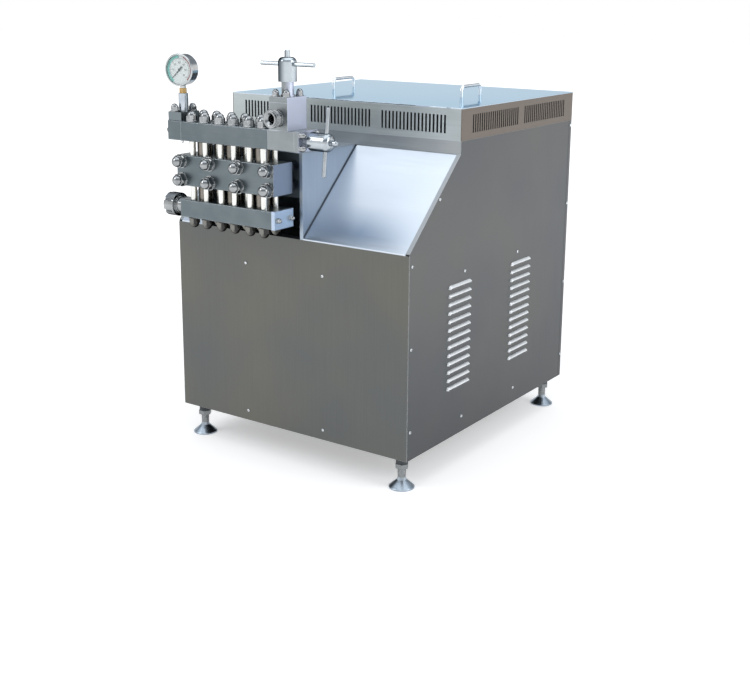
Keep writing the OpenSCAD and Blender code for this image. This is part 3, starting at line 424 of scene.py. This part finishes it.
def paint(name, first, second, rough, grain=900.0, bump=0.15, edge=None):
    """Enamel, cast, printed or rubber surface with a fine orange-peel texture."""
    made, tree, base = shader(name)
    grain_share = noise(tree, grain, detail=2.0)
    tint = mixed(tree, stretch(tree, noise(tree, PAINT_PATCH, detail=4.0), *PATCH_SPAN), first, second)
    normal, highlight_share = soft_edges(tree, PAINT_EDGE_R)
    # Painted highlight: a lighter colour on the edges
    if edge:
        tint = mixed(tree, math_of(tree, "MULTIPLY", highlight_share, PAINT_EDGE_SHARE), tint, edge)
    least = rough * (1 - PEEL_ROUGH_SPAN)
    most = rough * (1 + PEEL_ROUGH_SPAN)
    rough_map = stretch(tree, grain_share, *PEEL_SPAN, least, most)
    finish_surface(tree, base, tint, rough_map, (bump, PAINT_BUMP), grain_share, normal)
    return made


def glass(name):
    made, tree, base = shader(name)
    smudge = noise(tree, SMUDGE_SCALE)
    tree.links.new(stretch(tree, smudge, *SMUDGE_SPAN, *LENS_ROUGH), base.inputs["Roughness"])
    tint = mixed(tree, smudge, tone(225, 245, 242), tone(240, 250, 250))
    tree.links.new(tint, base.inputs["Base Color"])
    base.inputs["Alpha"].default_value = LENS_ALPHA
    base.inputs["Coat Weight"].default_value = LENS_COAT
    return made


def make_metals():
    # Edge colours: painted highlights on the rounded edges
    bright_edge_highlight = tone(205, 214, 222)
    steel_edge_highlight = tone(190, 196, 200)
    nut_edge_highlight = tone(200, 203, 205)
    back_seam = ("Y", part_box("right_side_panel")[1].y - SEAM_INSET, SEAM_W)
    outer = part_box("front_panel")[1].x + HOOD_STEP
    hood_highlights = (outer, tone(158, 161, 164), tone(246, 248, 250), CREST_METALLIC)
    upright = (420.0, 420.0, 5.0)
    lengthwise = (6.0, 420.0, 420.0)
    broad = (5.0, 300.0, 300.0)
    barred = (9.0, 700.0, 700.0)
    lathed = (700.0, 700.0, 60.0)
    drawn = (500.0, 500.0, 90.0)
    even = (500.0, 500.0, 500.0)
    low_rim = (0.25, 0.25, 0.25)
    nut_rim = (0.2, 0.2, 0.2)
    hub_rim = (0.05, 0.05, 0.05)
    return {
        "front": metal("panel_front", tone(105, 105, 99), tone(98, 100, 100), steel_edge_highlight, upright,
                       rough=0.42, patch=2.2, bump=0.05),
        # Side panels: painted shade towards the floor, and a painted highlight on the louvre crests and
        # upward faces
        "side": metal("panel_side", tone(103, 104, 103), tone(97, 99, 102), steel_edge_highlight, upright,
                      rough=0.42, patch=2.2, bump=0.05, seam=back_seam, raised=hood_highlights, shade=side_shade),
        "strip": metal("panel_strip", tone(164, 168, 170), tone(148, 154, 158), steel_edge_highlight, lengthwise,
                       rough=0.42, patch=3.0, bump=0.05),
        # Chute: painted reflection, a darker band across its lower part
        "chute": metal("chute_sheet", tone(210, 217, 225), tone(204, 212, 222), bright_edge_highlight, broad,
                       rough=0.36, patch=2.0, bump=0.02, streak=0.03, shade=chute_shade),
        "hood": metal("hood_sheet", tone(170, 180, 192), tone(156, 168, 182), bright_edge_highlight, upright,
                      rough=0.36, patch=3.0, bump=0.04),
        "lid_top": metal("lid_sheet", tone(196, 206, 216), tone(184, 196, 208), bright_edge_highlight, lengthwise,
                         rough=0.06, patch=1.6, bump=0.02, streak=0.03, rim=(0.475, 0.677, 0.821)),
        # Lid walls: painted shade on the left and right walls
        "lid_wall": metal("lid_walls", tone(182, 190, 192), tone(168, 175, 175), bright_edge_highlight, lengthwise,
                          rough=0.45, patch=4.0, bump=0.05, shade=lid_shade),
        "head": metal("head_steel", tone(110, 119, 123), tone(101, 111, 115), steel_edge_highlight, barred,
                      rough=0.34, patch=14.0, bump=0.08, edge_r=BLOCK_EDGE_R, flank_reflection=tone(134, 144, 160)),
        "valve": metal("valve_steel", tone(150, 155, 157), tone(140, 146, 149), bright_edge_highlight, barred,
                       rough=0.42, patch=14.0, bump=0.08, edge_r=BLOCK_EDGE_R, flank_reflection=tone(200, 206, 224)),
        "plate": metal("plate_steel", tone(188, 203, 222), tone(176, 192, 212), bright_edge_highlight, barred,
                       rough=0.4, patch=14.0, bump=0.06, flank_reflection=tone(196, 212, 230)),
        # Tie-stud nuts: painted shade on those under the suction manifold
        "nut": metal("nut_steel", tone(166, 168, 169), tone(146, 149, 151), nut_edge_highlight, even,
                     rough=0.1, patch=30.0, bump=0.02, streak=0.04, rim=nut_rim, shade=nut_shade),
        "foot": metal("foot_steel", tone(178, 189, 200), tone(156, 166, 176), tone(206, 214, 222), even,
                      rough=0.3, patch=30.0, bump=0.03, streak=0.05, shade=foot_shade),
        # Valve sleeves: painted shade, a darker, browner colour than the studs beside them
        "sleeve": metal("sleeve_shaded_steel", tone(134, 129, 122), tone(116, 112, 106), steel_edge_highlight, lathed,
                        rough=0.22, patch=20.0, bump=0.05, rim=low_rim),
        "stud": metal("stud_steel", tone(238, 238, 234), tone(222, 222, 218), bright_edge_highlight, lathed,
                      rough=0.22, patch=20.0, bump=0.04, rim=nut_rim),
        "turned": metal("turned_steel", tone(196, 201, 206), tone(176, 183, 190), bright_edge_highlight, lathed,
                        rough=0.2, patch=20.0, bump=0.05, rim=low_rim),
        "stem": metal("stem_steel", tone(196, 203, 210), tone(176, 185, 194), bright_edge_highlight, lathed,
                      rough=0.2, patch=20.0, bump=0.05, rim=low_rim, shade=stem_shade),
        "screw": metal("screw_steel", tone(222, 224, 226), tone(188, 191, 194), tone(240, 241, 242), even,
                       rough=0.22, patch=60.0, bump=0.04),
        "hub": metal("hub_steel", tone(184, 190, 195), tone(168, 175, 181), bright_edge_highlight, lathed,
                     rough=0.18, patch=20.0, bump=0.04, rim=hub_rim),
        # First stage's hub: painted shade on its left
        "hub_one": metal("hub_one_steel", tone(194, 202, 207), tone(182, 190, 196), bright_edge_highlight, lathed,
                         rough=0.18, patch=20.0, bump=0.04, rim=hub_rim, shade=hub_shade),
        "case": metal("case_steel", tone(204, 206, 206), tone(188, 191, 192), tone(124, 132, 134), even,
                      rough=0.14, patch=30.0, bump=0.02, streak=0.04, rim=(0.6, 0.6, 0.6)),
        "polished": metal("polished_steel", tone(166, 168, 169), tone(146, 149, 151), nut_edge_highlight, even,
                          rough=0.1, patch=30.0, bump=0.02, streak=0.04, rim=nut_rim),
        "handle": metal("handle_steel", tone(244, 246, 248), tone(234, 237, 240), tone(250, 251, 252), even,
                        rough=0.32, patch=30.0, bump=0.02, streak=0.03),
        "brass": metal("brass", tone(188, 158, 106), tone(160, 128, 80), tone(222, 200, 150), drawn,
                       rough=0.24, patch=40.0, bump=0.06),
    }


def make_paints():
    return {
        "frame": paint("frame_paint", tone(70, 74, 78), tone(62, 66, 70), rough=0.5,
                       edge=tone(96, 100, 104)),
        "cast": paint("cast_casing", tone(92, 104, 112), tone(78, 90, 98), rough=0.55, grain=500.0,
                      bump=0.3, edge=tone(120, 130, 138)),
        "pulley": paint("cast_pulley", tone(66, 66, 66), tone(54, 54, 55), rough=0.5, grain=600.0,
                        bump=0.25, edge=tone(120, 120, 120)),
        # Near-black mesh behind the lid's slots, a painted shade
        "mesh": paint("slot_shade_mesh", tone(30, 31, 32), tone(22, 23, 24), rough=0.8, grain=1400.0, bump=0.5),
        "bead": paint("joint_bead", tone(52, 64, 80), tone(44, 55, 70), rough=0.55, bump=0.1),
        "rubber": paint("belt_rubber", tone(30, 30, 31), tone(24, 24, 25), rough=0.8, grain=1400.0,
                        bump=0.4),
        "dial": paint("dial_face", tone(246, 248, 247), tone(240, 244, 244), rough=0.5, grain=2500.0,
                      bump=0.03),
        "ink": paint("dial_ink", tone(24, 25, 27), tone(34, 35, 37), rough=0.5, grain=2500.0, bump=0.03),
        "teal": paint("dial_teal", tone(104, 204, 194), tone(126, 214, 204), rough=0.45, grain=2500.0,
                      bump=0.03),
        "red": paint("dial_red", tone(126, 22, 30), tone(146, 32, 38), rough=0.45, grain=2500.0, bump=0.03),
        "needle": paint("needle_black", tone(20, 20, 22), tone(30, 30, 32), rough=0.4, grain=2000.0,
                        bump=0.05),
    }


LOOKS = {
    "front": ["front_panel", "rear_panel"],
    "side": ["right_side_panel", "left_side_panel"],
    "strip": ["upper_front_strip"],
    "chute": ["chute_panel", "left_slope_panel"],
    "hood": ["tower_hood"],
    "lid_top": ["lid_top"],
    "lid_wall": ["lid_vent_walls"],
    "head": ["cylinder_block", "suction_manifold", "discharge_manifold", "gauge_block", "head_spacers"],
    "valve": ["valve_block", "stage_one_bonnet", "stage_two_bonnet"],
    "plate": ["manifold_end_plate"],
    "stem": ["gauge_stem"],
    "sleeve": ["valve_sleeves"],
    "stud": ["tie_studs"],
    "turned": ["block_studs", "stage_one_spindle", "stage_two_spindle",
               "plunger_left", "plunger_middle", "plunger_right", "crankshaft", "motor_shaft"],
    "hub_one": ["stage_one_handle"],
    "hub": ["stage_two_handle"],
    "case": ["gauge_case"],
    "handle": ["lid_handles"],
    "nut": ["tie_stud_nuts"],
    "foot": ["foot_lock_nuts", "foot_front_left", "foot_front_right", "foot_rear_left", "foot_rear_right"],
    "polished": ["block_nuts", "small_dome_nuts", "inlet_union", "inlet_union_nut", "discharge_union",
                 "suction_balls", "discharge_balls"],
    "brass": ["gauge_connector", "packing_glands"],
    "frame": ["frame_tubes", "machine_decks"],
    "cast": ["crankcase", "crankcase_cover", "motor_housing"],
    "pulley": ["motor_pulley", "drive_pulley"],
    "rubber": ["drive_belts"],
    "dial": ["gauge_dial"],
    "needle": ["gauge_needle"],
    "glass": ["gauge_lens"],
}


def dress_nodes(materials):
    for look, names in LOOKS.items():
        for name in names:
            slots = NODES[name].data.materials
            slots.clear()
            slots.append(materials[look])


def add(name, mesh, material, body):
    """Object from a mesh, with one material, riding on a body."""
    mesh.materials.append(material)
    result = bpy.data.objects.new(name, mesh)
    SCENE.collection.objects.link(result)
    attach(result, body)


def piece(name, mesh_maker, material, body, smooth_angle=SMOOTH_ANGLE):
    """Object from a bmesh maker, riding on a body."""
    mesh = bpy.data.meshes.new(name)
    made = bmesh.new()
    mesh_maker(made)
    bmesh.ops.recalc_face_normals(made, faces=made.faces)
    limit = math.radians(smooth_angle)
    for edge in made.edges:
        edge.smooth = len(edge.link_faces) == 2 and edge.calc_face_angle() < limit
    for face in made.faces:
        face.smooth = True
    made.to_mesh(mesh)
    made.free()
    add(name, mesh, material, body)


def centre(node):
    low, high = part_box(node)
    return (low + high) / 2


def aim(at, normal):
    """Matrix that puts a shape drawn along +Z at a place, along a normal."""
    return Matrix.Translation(at) @ Vector(normal).to_track_quat("Z", "Y").to_matrix().to_4x4()


def ring_points(made, radius, height, turn, sides):
    """Ring of vertices; with sides it follows a regular polygon of that inner radius."""
    points = []
    for i in range(ROUND_STEPS):
        angle = 2 * math.pi * i / ROUND_STEPS
        reach = radius
        if sides:
            step = 2 * math.pi / sides
            reach = radius / math.cos((angle % step) - step / 2)
        spot = Vector((reach * math.cos(angle), reach * math.sin(angle), height))
        points.append(made.verts.new(turn @ spot))
    return points


def bridge(made, low, high):
    count = len(low)
    for i in range(count):
        made.faces.new((low[i], low[(i + 1) % count], high[(i + 1) % count], high[i]))


def loft(made, rows):
    """Closed skin over rows of vertices, with both ends capped."""
    for low, high in zip(rows, rows[1:]):
        bridge(made, low, high)
    made.faces.new(list(reversed(rows[0])))
    made.faces.new(rows[-1])


def lathe(made, at, normal, profile):
    """Closed turned shape from rows of radius, height and number of sides, 0 for round."""
    turn = aim(at, normal)
    loft(made, [ring_points(made, radius, height, turn, sides) for radius, height, sides in profile])


def screw(made, at, normal, radius=SCREW_R, height=SCREW_H):
    """Button-head screw with a hexagon socket, its seat at the given place."""
    lathe(made, at, normal, [(r * radius, h * height, sides) for r, h, sides in SCREW_PROFILE])


def screws(name, places, normal, material):
    def build(made):
        for at in places:
            screw(made, at, normal)
    piece(name, build, material, "cabinet")


def thread(name, origin, direction, sizes, material, body):
    """Helical ridge with a four-cornered section, round an axis from origin along direction."""
    radius, depth, pitch, length = sizes
    count = int(THREAD_STEPS * length / pitch)
    run_in = THREAD_FADE * THREAD_STEPS
    turn = aim(origin, direction)

    def build(made):
        rows = []
        for i in range(count + 1):
            angle = 2 * math.pi * i / THREAD_STEPS
            rise = length * i / count
            crest = depth * min(1.0, i / run_in, (count - i) / run_in)
            corners = ((-SINK, -THREAD_ROOT), (crest, -THREAD_CREST), (crest, THREAD_CREST),
                       (-SINK, THREAD_ROOT))
            row = []
            for reach, offset in corners:
                r = radius + reach
                spot = Vector((r * math.cos(angle), r * math.sin(angle), rise + offset * pitch))
                row.append(made.verts.new(turn @ spot))
            rows.append(row)
        loft(made, rows)
    piece(name, build, material, body, THREAD_SMOOTH)


def panel_screws(materials):
    look = materials["screw"]
    low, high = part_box("front_panel")
    spots = [low + Vector((x, 0, z)) for x in FRONT_SCREWS_X for z in FRONT_SCREWS_Z]
    screws("front_panel_screws", spots, (0, -1, 0), look)

    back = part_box("rear_panel")[1].y
    for side, face, normal in (("right", high.x, (1, 0, 0)), ("left", low.x, (-1, 0, 0))):
        spots = [Vector((face, low.y + y, low.z + z)) for y, z in SIDE_SCREWS_YZ]
        spots += [Vector((face, back - BACK_EDGE, low.z + z)) for z in SIDE_BACK_SCREWS_Z]
        screws(side + "_panel_screws", spots, normal, look)

    low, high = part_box("rear_panel")
    columns = (low.x + SCREW_EDGE, (low.x + high.x) / 2, high.x - SCREW_EDGE)
    spots = [Vector((x, high.y, low.z + z)) for x in columns for z in REAR_SCREWS_Z]
    screws("rear_panel_screws", spots, (0, 1, 0), look)


def gauge_block_fittings(materials):
    """Pin under the gauge block and pipe plug in its left end."""
    low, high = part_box("gauge_block")
    under = Vector((high.x - PIN_INSET[0], low.y + PIN_INSET[1], low.z))
    beside = Vector((low.x, (low.y + high.y) / 2, low.z + PLUG_RISE * (high.z - low.z)))
    piece("gauge_block_pin", lambda made: screw(made, under, (0, 0, -1), PIN_R, PIN_H),
          materials["screw"], "cabinet")
    piece("gauge_block_plug", lambda made: lathe(made, beside, (-1, 0, 0), PLUG_PROFILE),
          materials["polished"], "cabinet")


def threads(materials):
    look = materials["polished"]
    middle = centre("discharge_union")
    start = Vector((middle.x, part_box("discharge_union")[0].y + DISCHARGE_START, middle.z))
    thread("discharge_thread", start, (0, 1, 0), DISCHARGE_THREAD, look, "cabinet")
    middle = centre("inlet_union")
    start = Vector((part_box("inlet_union")[1].x - INLET_START, middle.y, middle.z))
    thread("inlet_thread", start, (-1, 0, 0), INLET_THREAD, look, "cabinet")
    for name in ("front_left", "front_right", "rear_left", "rear_right"):
        middle = centre("foot_" + name)
        start = Vector((middle.x, middle.y, POST_START))
        thread(name + "_post_thread", start, (0, 0, 1), POST_THREAD, look, "foot_" + name)


def prism(made, corners, start, end, across, up):
    """Closed bar: a section of offsets across and up, carried from start to end."""
    loft(made, [[made.verts.new(at + across * a + up * b) for a, b in corners] for at in (start, end)])


def chute_joint(materials):
    """Sealing bead where the chute meets the tower's wall."""
    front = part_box("front_panel")
    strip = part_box("upper_front_strip")
    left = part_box("chute_panel")[0].x
    low = Vector((left, front[0].y, front[1].z + LIP))
    high = Vector((left, strip[0].y, strip[0].z + LIP))
    along = (high - low).normalized()
    across = Vector((1, 0, 0))
    up = across.cross(along)
    inset = along * LIP
    hollow = (BEAD_HOLLOW[0] * BEAD, BEAD_HOLLOW[1] * BEAD)
    section = [(0, -SINK), (BEAD, -SINK), hollow, (0, BEAD)]
    piece("chute_joint", lambda made: prism(made, section, low + inset, high - inset, across, up),
          materials["bead"], "cabinet")


def vent_meshes(materials):
    """Near-black mesh in a folded channel behind the slots of the lid's walls: painted shade that keeps the
    slots dark.
    """
    low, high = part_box("lid_vent_walls")
    bottom = low.z + MESH_BELOW
    height = high.z - MESH_ABOVE - bottom
    inner = MESH_DEPTH - MESH_T
    section = [(0, 0), (MESH_DEPTH, 0), (MESH_DEPTH, height), (0, height), (0, height - MESH_T),
               (inner, height - MESH_T), (inner, MESH_T), (0, MESH_T)]
    gap = SHEET + MESH_GAP
    left, right = low.x + MESH_LIP, high.x - MESH_LIP
    near, far = low.y + 2 * MESH_LIP, high.y - 2 * MESH_LIP
    walls = [((left, low.y + gap), (right, low.y + gap), (0, 1, 0)),
             ((right, high.y - gap), (left, high.y - gap), (0, -1, 0)),
             ((low.x + gap, far), (low.x + gap, near), (1, 0, 0)),
             ((high.x - gap, near), (high.x - gap, far), (-1, 0, 0))]

    def build(made):
        for start, end, inward in walls:
            prism(made, section, Vector((*start, bottom)), Vector((*end, bottom)), Vector(inward),
                  Vector((0, 0, 1)))
    piece("vent_meshes", build, materials["mesh"], "lid")


def sector(made, middle, inner, outer, start, end, steps):
    """Flat printed ring sector on the dial; angles in degrees, anticlockwise from the right."""
    back = -DIAL_T / 2
    front = back - PRINT_T
    rows = []
    for i in range(steps + 1):
        angle = math.radians(start + (end - start) * i / steps)
        way = Vector((math.cos(angle), 0, math.sin(angle)))
        corners = ((inner, front), (outer, front), (outer, back), (inner, back))
        rows.append([made.verts.new(middle + GAUGE_TURN @ (way * r + Vector((0, y, 0)))) for r, y in corners])
    loft(made, rows)


def numeral(name, text, at, material):
    """Printed number on the dial, facing as the gauge does."""
    curve = bpy.data.curves.new(name + "_outline", "FONT")
    curve.body = text
    curve.size = NUMBER_SIZE
    curve.align_x = "CENTER"
    curve.align_y = "CENTER"
    curve.extrude = PRINT_T / 2
    outline = bpy.data.objects.new(name + "_outline", curve)
    SCENE.collection.objects.link(outline)
    graph = bpy.context.evaluated_depsgraph_get()
    mesh = bpy.data.meshes.new_from_object(outline.evaluated_get(graph))
    bpy.data.objects.remove(outline)
    upright = Matrix.Rotation(math.pi / 2, 4, "X")
    mesh.transform(Matrix.Translation(at) @ GAUGE_TURN.to_4x4() @ upright)
    mesh.materials.clear()
    add(name, mesh, material, "cabinet")


def dial_print(materials):
    """Scale of the pressure gauge: zero at lower left, numbers clockwise."""
    low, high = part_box("gauge_dial")
    middle = centre("gauge_dial")
    radius = (high.z - low.z) / 2

    def band(made, inner, outer, start, end, steps):
        sector(made, middle, radius * inner, radius * outer, start, end, steps)

    def ticks(made):
        for i in range(DIAL_MARKS + 1):
            angle = DIAL_ZERO - DIAL_SWEEP * i / DIAL_MARKS
            inner, half = SHORT_TICK if i % LONG_EVERY else LONG_TICK
            band(made, inner, TICK_END, angle - half, angle + half, TICK_STEPS)
        band(made, *SCALE_RING, DIAL_ZERO - DIAL_SWEEP, DIAL_ZERO, SCALE_STEPS)

    piece("dial_ticks", ticks, materials["ink"], "cabinet")
    piece("dial_safe_band", lambda made: band(made, *SAFE_BAND), materials["teal"], "cabinet")
    piece("dial_limit_band", lambda made: band(made, *LIMIT_BAND), materials["red"], "cabinet")
    out = radius * NUMBER_AT
    for i, number in enumerate(NUMBERS):
        angle = math.radians(DIAL_ZERO - DIAL_SWEEP * i / (len(NUMBERS) - 1))
        at = Vector((math.cos(angle) * out, -DIAL_T / 2 - PRINT_T / 2, math.sin(angle) * out))
        numeral("dial_number_%d" % i, str(number), middle + GAUGE_TURN @ at, materials["ink"])


def seen_rays(tree):
    """1 for camera, mirror and glass rays, which see the background, 0 for the light that fills the scene."""
    path = put(tree, "ShaderNodeLightPath")
    share = math_of(tree, "MAXIMUM", path.outputs["Is Camera Ray"], path.outputs["Is Glossy Ray"])
    return math_of(tree, "MAXIMUM", share, path.outputs["Is Transmission Ray"])


def make_world():
    """White background to well above the horizon, then a grey wall and a pale ceiling."""
    world = bpy.data.worlds.new("studio")
    world.use_nodes = True
    SCENE.world = world
    tree = world.node_tree
    tree.nodes.clear()
    way = put(tree, "ShaderNodeTexCoord")
    rise = put(tree, "ShaderNodeSeparateXYZ", {0: way.outputs["Generated"]}).outputs["Z"]
    wall = mixed(tree, stretch(tree, rise, *WALL_RISE), WHITE, tone(150, 158, 166))
    sky = mixed(tree, stretch(tree, rise, *SKY_RISE), wall, tone(224, 233, 242))
    seen = put(tree, "ShaderNodeBackground", {"Color": sky, "Strength": 1.0})
    fill = put(tree, "ShaderNodeBackground", {"Color": FILL_COLOUR, "Strength": FILL_LEVEL})
    both = put(tree, "ShaderNodeMixShader", {0: seen_rays(tree), 1: fill.outputs[0], 2: seen.outputs[0]})
    out = put(tree, "ShaderNodeOutputWorld")
    tree.links.new(both.outputs[0], out.inputs["Surface"])


def make_floor():
    """Pale matte floor that keeps the shadow, with a glow that brings it to white where it is seen."""
    made, tree, base = shader("floor")
    tree.nodes.remove(base)
    speckle = mixed(tree, noise(tree, FLOOR_PATCH), *FLOOR_TONES)
    matte = put(tree, "ShaderNodeBsdfDiffuse", {"Color": speckle})
    spot = place(tree).outputs["Object"]
    reach = put(tree, "ShaderNodeVectorMath", {0: spot}, operation="LENGTH").outputs["Value"]
    level = stretch(tree, reach, *GLOW_REACH, *GLOW_LEVEL)
    glow = put(tree, "ShaderNodeEmission", {"Color": WHITE, "Strength": level})
    none = put(tree, "ShaderNodeEmission", {"Color": BLACK, "Strength": 0.0})
    lit = put(tree, "ShaderNodeMixShader", {0: seen_rays(tree), 1: none.outputs[0], 2: glow.outputs[0]})
    both = put(tree, "ShaderNodeAddShader", {0: matte.outputs[0], 1: lit.outputs[0]})
    tree.links.new(both.outputs[0], tree.nodes["Material Output"].inputs["Surface"])
    bpy.ops.mesh.primitive_plane_add(size=FLOOR_SIZE, location=(0, 0, -FLOOR_DROP))
    floor = bpy.context.object
    floor.name = "floor"
    floor.data.materials.append(made)


def make_lights():
    for lamp in LAMPS:
        data = bpy.data.lights.new(lamp["name"], "AREA")
        data.shape = "RECTANGLE"
        data.size, data.size_y = lamp["size"]
        data.energy = lamp["power"]
        data.color = lamp["colour"]
        result = bpy.data.objects.new(lamp["name"], data)
        way = Vector(lamp["target"]) - Vector(lamp["at"])
        turn = way.to_track_quat("-Z", "Y").to_matrix().to_4x4()
        result.matrix_world = Matrix.Translation(lamp["at"]) @ turn
        SCENE.collection.objects.link(result)


SCENE.view_settings.view_transform = "Standard"
make_camera()
make_world()
make_floor()
make_lights()
MATERIALS = {**make_metals(), **make_paints(), "glass": glass("lens_glass")}
dress_nodes(MATERIALS)
panel_screws(MATERIALS)
gauge_block_fittings(MATERIALS)
threads(MATERIALS)
chute_joint(MATERIALS)
vent_meshes(MATERIALS)
dial_print(MATERIALS)
